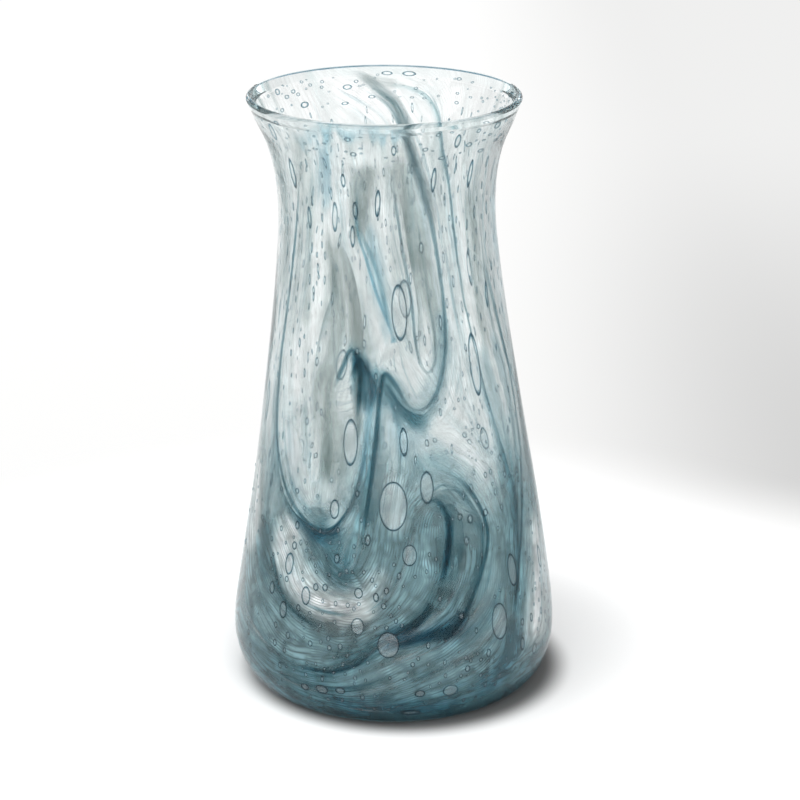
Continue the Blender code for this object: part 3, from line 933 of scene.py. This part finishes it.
def build_lip_colour():
    """The last of the powder colour, drawn up into the lip."""
    low, high = LEDGE - CLEARANCE, LIP_CENTRE_HEIGHT + 0.6 * LIP_HALF
    profile = []
    for share in np.linspace(0, 1, 7):
        z = low + share * (high - low)
        radius = (1 - share) * float(wall_section(z, 0.5)[0]) + share * LIP_CENTRE_RADIUS
        profile.append((radius, z))
    points, faces, _ = turned(profile, SKIN_COLUMNS)
    piece = add_piece("lip_colour", points, faces, [COMBED], None)
    azimuth = np.tile(np.arange(SKIN_COLUMNS) * 360 / SKIN_COLUMNS, len(profile))
    height = np.repeat([z / MM for _, z in profile], SKIN_COLUMNS)
    give_skin_colour(piece, azimuth, height, sheets=1)


build_skin()
build_lip_colour()

ACROSS = np.array([-1.0, -0.5, 0.0, 0.5, 1.0])[:, None]  # places across a ribbon


class Strokes:
    """Ribbons of streaked glass lying in the wall, gathered into one mesh."""

    def __init__(self):
        self.points, self.faces = [], []
        self.values = {
            key: [] for key in ("across", "one_sided", "fade", "fibres", "grain", "milk", "body", "tint")
        }
        self.count = 0

    def add(
        self, path, width, share, body, tint, milk, fibres=0.6, one_sided=0.0, strength=1.0, taper=0.3,
        grain=(1.6, 0.07), top=246.5,
    ):
        """One ribbon. Width is in millimetres, share is a depth and taper the part that fades at each end."""
        path = np.asarray(path, float)
        way = np.gradient(path, axis=0)
        way /= np.hypot(way[:, 0], way[:, 1])[:, None] + 1e-9
        side = np.stack([-way[:, 1], way[:, 0]], -1)
        along = np.linspace(0, 1, len(path))
        ends = np.clip(along / taper, 0, 1) * np.clip((1 - along) / taper, 0, 1)
        ends = ends * ends * (3 - 2 * ends)
        narrowing = 0.35 + 0.65 * np.sqrt(ends)
        run = np.r_[0, np.cumsum(np.hypot(*np.diff(path, axis=0).T))]
        offset = rng.uniform(0, 400, 3)
        radius, _ = wall_section(path[:, 1] * MM, share)
        degrees_per_mm = 1.0 / (np.radians(1) * radius / MM)
        reach = 0.5 * width * (ACROSS - one_sided) * narrowing
        azimuth = path[:, 0] + side[:, 0] * reach * degrees_per_mm
        height = np.clip(path[:, 1] + side[:, 1] * reach, 0.3, top)
        self.points += list(wall(np.radians(azimuth), height * MM, share))
        every = np.ones(reach.shape)
        along_run = every * (run * grain[1] + offset[1])
        texture_place = [reach * grain[0] + offset[0], along_run, every * offset[2]]
        values = {
            "across": every * ACROSS, "one_sided": every * one_sided, "fade": every * ends * strength,
            "fibres": every * fibres, "milk": every * milk, "grain": np.stack(texture_place, -1),
            "body": every[..., None] * body, "tint": every[..., None] * tint,
        }
        for key, value in values.items():
            self.values[key] += list(value)
        n = len(path)
        for a in self.count + n * np.arange(len(ACROSS) - 1):
            self.faces += [(a + i, a + i + 1, a + n + i + 1, a + n + i) for i in range(n - 1)]
        self.count += n * len(ACROSS)

    def build(self, name, slot, replaces=()):
        piece = add_piece(name, np.vstack(self.points), self.faces, [STREAKED], None, replaces)
        give(piece, **{k: np.concatenate(v) for k, v in self.values.items()})
        return piece


for name, (width, points) in TRAILS.items():
    trail = Strokes()
    pale = name == "trail_neck_thread"
    body, tint = ((0.22, 0.46, 0.56), (0.42, 0.68, 0.77)) if pale else (TEAL, (0.16, 0.42, 0.50))
    trail.add(smooth_path(points, 1.5), width * 1.0, TRAIL_SHARE, body, tint, 0.35, fibres=0.35, taper=0.2)
    trail.build(name + "_glass", "trail_blue", [name])


# Folds of dark or smoky colour: path, width, the side its soft slope lies on (1 left, -1 right, 0 both),
# body colour, tint, scattering, strength
FOLDS = [
    ([(-66, 150), (-65, 131), (-60, 114), (-57, 103), (-52, 94), (-45, 88), (-36, 84), (-27, 83), (-19, 93),
      (-13, 104), (-10, 114), (-8, 126), (-7, 135), (-6, 143)], 8.0, -1, TEAL, (0.28, 0.56, 0.63), 0.35, 0.9),
    ([(-52, 94), (-45, 88), (-36, 84), (-27, 83), (-19, 93)], 5.0, -1, TEAL, (0.20, 0.48, 0.57), 0.5, 1.0),
    ([(-13, 84), (-11, 100), (-8.5, 118), (-7, 134), (-5, 148)],
     5.0, -1, TEAL, (0.30, 0.58, 0.64), 0.35, 0.7),
    ([(-4, 149), (-1, 145), (6, 136), (13, 132.5), (18, 135), (22, 141)],
     10.0, -1, TEAL, (0.20, 0.48, 0.55), 0.45, 1.0),
    ([(15, 133), (20, 137), (24, 145), (27, 158), (28, 172), (28, 190)],
     2.4, -1, TEAL, (0.34, 0.60, 0.66), 0.3, 0.8),
    ([(-15, 154), (-15, 148), (-16, 138), (-15, 128), (-17, 116)],
     4.5, 0, SMOKE, (0.45, 0.58, 0.60), 0.4, 0.9),
    ([(-57, 72), (-51, 62), (-48, 55), (-42, 49), (-33, 45), (-24, 44)],
     7.0, -1, TEAL, (0.30, 0.56, 0.62), 0.4, 0.9),
    ([(-21, 144), (-18, 151), (-15, 156), (-10, 150), (-6, 143), (-7, 135)],
     6.0, -1, TEAL, (0.20, 0.48, 0.56), 0.5, 1.0),
    ([(-19, 153), (-16, 155), (-13, 150), (-12, 141), (-13, 130)],
     9.0, 0, TEAL, (0.26, 0.50, 0.56), 0.5, 1.0),
    ([(23, 95), (23, 84), (21, 74), (19, 64)], 4.5, 0, TEAL, (0.18, 0.46, 0.56), 0.4, 0.9),
    ([(-6, 37), (2, 39), (9, 41), (15, 42), (23, 43), (29, 51)], 7.0, 0, TEAL, (0.14, 0.42, 0.52), 0.4, 0.9),
    ([(-45, 22), (-35, 22), (-26, 23), (-18, 29), (-11, 34), (-5, 38)],
     6.0, -1, TEAL, (0.28, 0.56, 0.63), 0.3, 0.7),
    ([(42, 168), (46, 156), (49, 139), (55, 116), (59, 100), (61, 88), (57, 67), (53, 45), (50, 21)],
     8.0, -1, TEAL, (0.26, 0.54, 0.62), 0.4, 0.9),
    ([(58, 196), (66, 170), (72, 147), (79, 132), (84, 118)], 3.4, 0, TEAL, (0.34, 0.60, 0.66), 0.35, 0.8),
    ([(11, 94), (17, 100), (25, 101), (32, 97), (38, 85), (38, 73), (33, 60), (27, 47), (21, 42)],
     9.0, -1, TEAL, (0.30, 0.58, 0.65), 0.35, 0.85),
    ([(14, 88), (18, 93), (24, 95), (28, 90), (29, 82), (27, 70), (24, 60)],
     5.0, -1, TEAL, (0.34, 0.60, 0.66), 0.3, 0.7),
    ([(-14, 214), (-14, 206), (-9, 197), (-5, 188), (-2, 177), (0, 169), (2, 162)],
     2.6, 0, TEAL, (0.40, 0.70, 0.78), 0.3, 0.8),
    ([(1, 165), (2, 162), (4, 162)], 4.0, 0, (0.16, 0.36, 0.45), (0.45, 0.72, 0.80), 0.4, 1.0),
    ([(-30, 198), (-26, 200), (-22, 197), (-18, 189), (-15, 179), (-13, 166), (-13, 154), (-15, 146)],
     9.0, -1, SMOKE, (0.42, 0.50, 0.49), 0.5, 1.0),
    ([(-26, 200), (-30, 195), (-31, 187), (-31, 179), (-35, 169), (-38, 158), (-40, 146)],
     6.0, 1, SMOKE, (0.50, 0.64, 0.68), 0.4, 0.9),
    ([(4, 229), (8, 215), (11, 196), (14, 178), (14, 163), (14, 150)],
     5.0, 1, SMOKE, (0.50, 0.58, 0.58), 0.3, 0.9),
    ([(-10, 234), (-14, 224), (-14, 212), (-15, 202)], 7.0, 0, SMOKE, (0.60, 0.70, 0.72), 0.3, 0.8),
    ([(-33, 245), (-29, 238), (-31, 226), (-32, 214)], 6.0, 0, (0.30, 0.45, 0.50),
     (0.66, 0.82, 0.88), 0.35, 0.7),
    ([(27, 184), (28, 194), (27, 203), (24, 214), (19, 226)], 3.0, 1, TEAL, (0.34, 0.56, 0.60), 0.35, 0.7),
    ([(199, 252), (190, 247), (182, 241), (175, 236), (170, 228), (166, 218), (162, 211), (157, 201),
     (154, 190), (152, 178)],
     7.0, 0, (0.10, 0.17, 0.18), (0.18, 0.32, 0.35), 0.5, 1.0),
    ([(169, 150), (168, 134), (166, 122), (163, 116), (159, 119), (158, 128), (159, 142), (162, 160)],
     2.0, 0, SLATE, (0.40, 0.56, 0.58), 0.35, 0.8),
    ([(178, 240), (176, 226), (172, 208), (168, 186), (163, 162), (160, 138)],
     17.0, 0, SMOKE, (0.72, 0.74, 0.72), 0.32, 0.6),
    ([(182, 243), (174, 244), (166, 243), (158, 240), (151, 233), (147, 222), (143, 208), (140, 192)],
     5.5, 1, (0.10, 0.28, 0.32), (0.30, 0.57, 0.62), 0.3, 1.0),
    ([(-166, 248), (-176, 245), (-184, 244), (-190, 244)], 5.0, 0, SMOKE, (0.6, 0.68, 0.68), 0.3, 0.8),
    ([(-100, 50), (-102, 80), (-97, 110), (-98, 140)], 10.0, 1, TEAL, (0.40, 0.62, 0.68), 0.3, 0.7),
    ([(100, 46), (97, 76), (99, 110), (104, 140)], 10.0, -1, TEAL, (0.40, 0.62, 0.68), 0.3, 0.7),
    ([(-152, 25), (-142, 27), (-133, 33), (-129, 41), (-134, 49), (-144, 51)],
     7.0, 1, TEAL, (0.30, 0.56, 0.62), 0.35, 0.8),
    ([(152, 150), (153, 132), (156, 115), (160, 104), (166, 98), (172, 99), (178, 106)],
     8.0, -1, TEAL, (0.30, 0.56, 0.62), 0.35, 0.8),
]


def fold_strokes():
    """The folds, each at its own depth between the trails and the skin."""
    folds = Strokes()
    for path, width, slope, body, tint, milk, strength in FOLDS:
        path = smooth_path(path, 1.5)
        if slope > 0:
            path = path[::-1]
        share = rng.uniform(TRAIL_SHARE + 0.04, SKIN_OUT_SHARE - 0.01)
        folds.add(
            path, width, share, body, tint, milk,
            fibres=0.45, one_sided=float(slope != 0), strength=strength, grain=(0.9, 0.05), top=249.8,
        )
    return folds


def pulled_strokes(count, widths, lengths, low_share, boldness, fibres, grain):
    """Strokes along the flow, light and dark, which give the wall its fibres."""
    strokes = Strokes()
    low = rng.random(count) < low_share
    azimuth = rng.uniform(0, 360, count)
    height = np.where(low, rng.uniform(3, 120, count), rng.uniform(90, 240, count))
    length = rng.uniform(*lengths, count) * np.where(low, 0.8, 1.2)
    width = rng.uniform(*widths, count)
    dense = deep_colour(azimuth, height)
    for k, path in enumerate(follow_all(azimuth, height, length)):
        if len(path) < 6:
            continue
        if rng.random() < 0.5:
            body = np.array(WHITE) * (1 - 0.35 * dense[k]) * rng.uniform(0.85, 1.0)
            tint, milk = (0.97, 0.99, 1.0), rng.uniform(0.2, 0.6)
        else:
            body = np.array(SLATE) * rng.uniform(0.6, 1.3)
            tint, milk = (0.45, 0.68, 0.74), rng.uniform(0.1, 0.4)
        strength = rng.uniform(0.4, 1.0) * boldness * (0.45 + 0.55 * dense[k])
        if rng.random() < 0.5:
            share = rng.uniform(CASING_SHARE + 0.01, TRAIL_SHARE - 0.04)
        else:
            share = rng.uniform(0.70, 0.95)
        sided = float(rng.random() < 0.35)
        strokes.add(path, width[k], share, body, tint, milk, fibres, sided, strength, 0.35, grain)
    return strokes


def build_rim_thread():
    """A thread of colour that runs round inside the lip, with painted shade that makes it darker at the back,
    away from the camera.
    """
    rows = np.linspace(-1, 1, 5)
    profile = [(LIP_CENTRE_RADIUS, LIP_CENTRE_HEIGHT + (0.45 + 0.32 * u) * LIP_HALF) for u in rows]
    columns = 160
    points, faces, _ = turned(profile, columns)
    piece = add_piece("rim_thread", points, faces, [STREAKED], None)
    across = np.repeat(rows, columns)
    nil = 0 * across
    azimuth = np.tile(np.arange(columns) * 360 / columns, len(rows))
    # The thread's colour, darkened towards the back away from the camera as painted shade of the lip seen
    # edge on; the fivefold wave is uneven colour
    fade = 0.6 - 0.4 * np.cos(np.radians(azimuth)) + 0.15 * np.cos(np.radians(azimuth * 5 + 40))
    place = np.array(points) / MM
    give(piece, across=across, one_sided=nil, fade=fade, fibres=nil + 0.3, grain=place * 0.1, milk=nil + 0.25,
         body=np.tile(TEAL, (len(across), 1)), tint=np.tile((0.08, 0.26, 0.38), (len(across), 1)))


build_rim_thread()
fold_strokes().build("folded_colour", "powder_colour")
veils = pulled_strokes(380, (3.5, 10), (30, 90), 0.62, 0.8, 0.9, (1.3, 0.05))
veils.build("pulled_veils", "powder_colour")
threads = pulled_strokes(620, (0.7, 2.4), (14, 60), 0.70, 1.0, 0.5, (0.8, 0.08))
threads.build("pulled_threads", "powder_colour")

# ---------------------------------------------------------------------------------------------------------
# Bubbles
# ---------------------------------------------------------------------------------------------------------

# Large bubbles as (azimuth, height, width, length), in degrees and millimetres
LARGE = [
    (-43, 66, 4.6, 9.6), (-34, 55, 4.4, 8.0), (-13, 60, 3.6, 4.6), (-13, 46, 5.6, 7.4), (-2, 39, 9.0, 11.0),
    (41, 42, 8.6, 15.8), (50, 61, 5.6, 14.5), (6, 76, 6.0, 9.0), (14, 103, 5.6, 13.6), (0, 96, 11.5, 20.5),
    (-24, 93, 4.2, 8.2), (-44, 46, 4.2, 7.6), (-51, 53, 3.4, 5.6), (-22, 73, 2.6, 4.2), (-10, 82, 2.4, 5.0),
    (-33, 15, 4.0, 3.2), (-26, 16, 6.0, 4.0), (-19, 17, 4.4, 3.2), (9, 17, 4.4, 3.2), (20, 17, 6.8, 5.2),
    (6, 7, 8.6, 2.8), (52, 28, 3.0, 6.2), (60, 22, 4.0, 4.8), (72, 58, 3.8, 10.5), (5, 174, 6.2, 23.0),
    (43, 149, 5.6, 26.5), (-18, 121, 6.2, 19.5), (5, 122, 3.4, 12.0), (58, 175, 1.8, 11.5),
     (-74, 126, 3.6, 17.5),
    (24, 227, 2.2, 11.0), (46, 227, 2.4, 12.5), (-53, 226, 3.2, 13.5), (-44, 209, 2.0, 9.3),
     (-18, 204, 2.0, 9.2),
    (-21, 227, 2.0, 6.0), (4, 241, 1.9, 5.0), (169, 248, 6.0, 2.2), (179, 248, 4.8, 1.8),
     (-162, 243, 4.2, 2.2),
    (-57, 243, 3.4, 8.0), (33, 243, 2.8, 6.4), (56, 246, 4.4, 3.0), (-96, 70, 5.0, 9.0), (112, 52, 7.0, 12.0),
    (135, 88, 5.0, 11.0), (158, 40, 8.0, 10.0), (190, 66, 6.0, 9.0), (205, 120, 5.0, 15.0),
     (228, 84, 7.0, 11.0),
    (172, 150, 5.0, 18.0), (215, 190, 3.0, 14.0), (245, 40, 6.0, 7.0), (130, 170, 3.4, 16.0),
     (255, 150, 4.0, 17.0),
]


def ball(columns, rows):
    """A unit ball as points and faces."""
    round_way = np.arange(columns) * 2 * math.pi / columns
    points = [(0.0, 0.0, 1.0)]
    for a in (math.pi * i / rows for i in range(1, rows)):
        points += [(math.sin(a) * math.cos(b), math.sin(a) * math.sin(b), math.cos(a)) for b in round_way]
    points.append((0.0, 0.0, -1.0))
    starts = [0] + [1 + i * columns for i in range(rows)] + [len(points)]
    return np.array(points), ring_faces(starts, columns, flip=True)[0]


def bubbles(name, wanted, columns, rows):
    """Air bubbles in one mesh, each as (azimuth, height, width, length, depth, share, tilt)."""
    shape, pattern = ball(columns, rows)
    inset = 1 - np.hypot(shape[:, 0], shape[:, 2])
    points, faces, rim = [], [], []
    for azimuth, height, width, length, depth, share, tilt in wanted:
        a = math.radians(azimuth)
        centre = wall(a, height * MM, share)
        above = wall(a, (height + 1) * MM, share)
        up = (above - centre) / np.linalg.norm(above - centre)
        out = np.array([math.sin(a), -math.cos(a), 0.0])
        right = np.cross(up, out)
        right /= np.linalg.norm(right)
        out = np.cross(right, up)
        right, up = math.cos(tilt) * right + math.sin(tilt) * up, math.cos(tilt) * up - math.sin(tilt) * right
        size = 0.5 * MM * np.array([width, depth, length])
        start = len(points) * len(shape)
        points.append(centre + (shape * size) @ np.array([right, out, up]))
        faces += [tuple(start + i for i in face) for face in pattern]
        half = 0.5 * min(width, length)
        # Painted shade at the bubble's outline: 1 at its edge, falling to 0 within about 0.6 mm
        rim.append(np.clip(1 - inset * half / min(0.6, 0.45 * half), 0, 1))
    piece = add_piece(name, np.vstack(points), faces, [AIR], None)
    give(piece, rim=np.concatenate(rim))


# Where small bubbles crowd together: azimuth in degrees, height in millimetres
CROWDS = [(70, 52), (64, 36), (-44, 66), (-34, 60), (-8, 58), (-20, 26), (30, 24), (40, 112)]


def seeds(count, placed):
    """Small bubbles, clear of those placed: tall in the neck, flat by the lip and rounder low down."""
    wanted = []
    taken = np.array([b[:2] + (max(b[2:4]),) for b in placed])
    for _ in range(count):
        zone = rng.random()
        azimuth = rng.uniform(0, 360)
        if zone < 0.12:
            height, stretch = rng.uniform(236, 248), rng.uniform(0.4, 0.8)
        elif zone < 0.42:
            height, stretch = rng.uniform(165, 238), rng.uniform(2.4, 5.5)
        elif zone < 0.58:
            height, stretch = rng.uniform(95, 175), rng.uniform(1.8, 4.5)
        elif zone < 0.86:
            height, stretch = rng.uniform(5, 105), rng.uniform(0.9, 1.6)
        else:
            azimuth, height = CROWDS[rng.integers(len(CROWDS))] + rng.normal(0, 8, 2)
            height, stretch = max(height, 6), rng.uniform(1.0, 1.7)
        size = min(0.6 + 0.5 * (height < 105) + rng.exponential(0.32 if stretch > 1.7 else 0.5), 2.6)
        width, length = (size, size * stretch) if stretch >= 1 else (size / stretch, size)
        apart = np.hypot(turned_apart(taken[:, 0], azimuth), taken[:, 1] - height)
        if (apart < 0.5 * taken[:, 2] + 0.5 * length + 0.5).any():
            continue
        taken = np.vstack([taken, (azimuth, height, max(width, length))])
        depth = min(0.9 * size, 0.8)
        wanted.append((azimuth, height, width, length, depth, rng.uniform(0.11, 0.19), rng.normal(0, 0.06)))
    return wanted


large = [(a, h, w, l, min(1.35, 0.75 * w), 0.185, rng.normal(0, 0.03)) for a, h, w, l in LARGE]
bubbles("large_bubbles", large, 28, 18)
bubbles("seeds", seeds(1900, LARGE), 10, 8)

# ---------------------------------------------------------------------------------------------------------
# Floor, light and camera
# ---------------------------------------------------------------------------------------------------------


def build_floor():
    """White paper with a painted contact shadow round the foot and a painted soft shadow behind and to its
    right; far away it turns into a glowing backdrop with painted shade, dimmer on the right and along a faint
    band.
    """
    n = Nodes("pale_floor_painted_shadow")
    place = n.add("ShaderNodeTexCoord").outputs["Object"]
    parts = n.add("ShaderNodeSeparateXYZ", {0: place})

    def away_from(x, y):
        distance = n.add("ShaderNodeVectorMath", {0: place, 1: (x, y, 0.0)}, operation="DISTANCE")
        return distance.outputs["Value"]

    # Painted contact shadow: the paper is darkened to 0.16 of its tone close round the foot, fading out by 18
    # mm from it
    painted_contact_shadow = n.ramp(away_from(0.005, 0.0), FOOT_RADIUS + 0.004, FOOT_RADIUS + 0.018)
    # Painted soft shadow, centred a little behind and to the right of the vase, darkening the paper to 0.74
    soft = n.ramp(away_from(0.035, 0.02), 0.05, 0.13, 0.74, 1.0)
    shadowed_paper_tone = n.times(n.times(soft, 0.95), n.plus(0.16, n.times(painted_contact_shadow, 0.84)))
    shadowed_paper_colour = n.add("ShaderNodeCombineXYZ", {0: shadowed_paper_tone, 1: shadowed_paper_tone, 2: shadowed_paper_tone}).outputs[0]
    paper = n.add("ShaderNodeBsdfDiffuse", {"Color": shadowed_paper_colour}).outputs[0]
    # Painted shade: far from the vase the floor glows as a backdrop, dimmed towards the right and along a
    # faint band across the back, where lamp light would fall off
    right = n.ramp(parts.outputs[0], 0.02, 0.24)
    fold = n.ramp(parts.outputs[1], 0.09, 0.22)
    up = n.ramp(parts.outputs[1], 0.15, 1.0)
    painted_dimming = n.times(n.times(right, fold), n.minus(0.34, n.times(up, 0.18)))
    painted_dimming = n.plus(painted_dimming, n.times(fold, n.times(n.minus(1.0, up), 0.035)))
    backdrop_glow = n.minus(1.03, painted_dimming)
    gone = n.ramp(away_from(0.0, 0.0), 0.12, 0.30)
    glowing_backdrop = n.add("ShaderNodeEmission", {"Color": (1.0, 1.0, 0.995), "Strength": backdrop_glow}).outputs[0]
    material = n.done(n.mix(gone, paper, glowing_backdrop))
    mesh = bpy.data.meshes.new("floor")
    points, starts, turns = [(0.0, 0.0, 0.0)], [0], 64
    for radius in (0.3, 1.5, 6.0):
        starts.append(len(points))
        for a in np.arange(turns) * 2 * math.pi / turns:
            points.append((radius * math.cos(a), radius * math.sin(a), 0.0))
    mesh.from_pydata(points, [], ring_faces(starts + [len(points)], turns, flip=True)[0])
    mesh.materials.append(material)
    floor = bpy.data.objects.new("floor", mesh)
    bpy.context.scene.collection.objects.link(floor)


def build_light():
    """A white tent: brightest behind the vase as the camera sees it, softer from the sides and the front."""
    n = Nodes("white_tent", world=True)
    way = n.add("ShaderNodeTexCoord").outputs["Generated"]
    seen = n.add(
        "ShaderNodeVectorTransform", {"Vector": way},
        vector_type="VECTOR", convert_from="WORLD", convert_to="CAMERA",
    )
    ahead = n.add("ShaderNodeSeparateXYZ", {0: seen.outputs[0]}).outputs[2]
    behind = n.ramp(ahead, 0.15, 0.80)
    back = n.ramp(ahead, 0.0, -0.9)
    level = n.plus(n.times(behind, 1.1), n.times(back, 1.9))
    level = n.plus(level, 0.72)
    shader = n.add("ShaderNodeBackground", {"Color": (1.0, 1.0, 1.0), "Strength": level})
    bpy.context.scene.world = n.done(shader.outputs[0])


def build_camera():
    """As the photograph was taken: from the -Y side, looking down at about 20 degrees through a long lens."""
    camera = bpy.data.cameras.new("camera")
    camera.sensor_width = 36.0
    camera.lens = 112.85
    camera.shift_x = 0.0075
    camera.shift_y = -0.0149
    eye = bpy.data.objects.new("camera", camera)
    bpy.context.scene.collection.objects.link(eye)
    down = math.radians(19.6)
    distance = 1.05
    eye.location = (0.0, -distance * math.cos(down), 0.5 * TOP + distance * math.sin(down))
    eye.rotation_euler = (0.5 * math.pi - down, 0.0, 0.0)
    bpy.context.scene.camera = eye


build_floor()
build_light()
build_camera()

scene = bpy.context.scene
scene.view_settings.view_transform = "Standard"
scene.cycles.max_bounces = 40
scene.cycles.transmission_bounces = 24
scene.cycles.transparent_max_bounces = 96
scene.cycles.diffuse_bounces = 3
scene.cycles.glossy_bounces = 6
